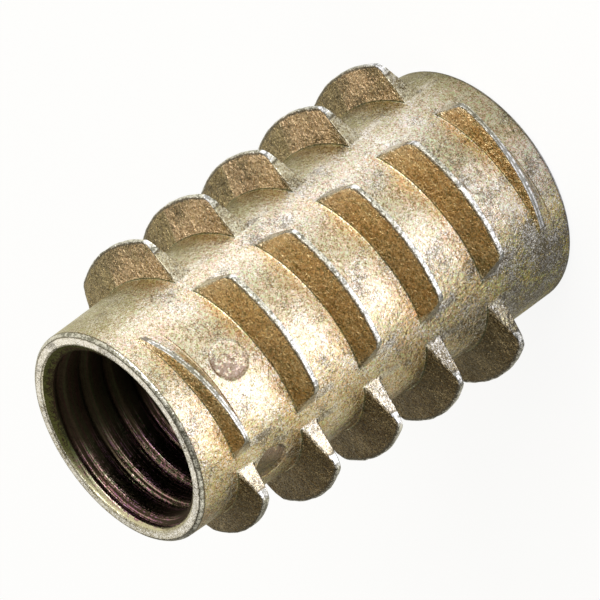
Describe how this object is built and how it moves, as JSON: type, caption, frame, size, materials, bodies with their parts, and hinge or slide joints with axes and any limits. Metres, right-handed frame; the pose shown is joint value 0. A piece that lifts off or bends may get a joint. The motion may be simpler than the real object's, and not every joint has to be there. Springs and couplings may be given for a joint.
{
  "type": "threaded insert",
  "caption": "Hex-drive threaded insert for wood: a tapered cast sleeve with a coarse broken outer thread, a machine-threaded bore and a hex socket in its drive end.",
  "frame": {"origin": "centre of the drive end's face, on the insert's axis", "axes": "+Z along the insert's axis from the drive end to the entry end; the ribs stand out along +X, -X, +Y and -Y"},
  "size_m": [0.0169, 0.0168, 0.025],
  "materials": {
    "plated_zinc": null
  },
  "bodies": {
    "root": {"insert_body": "plated_zinc"}
  },
  "joints": []
}
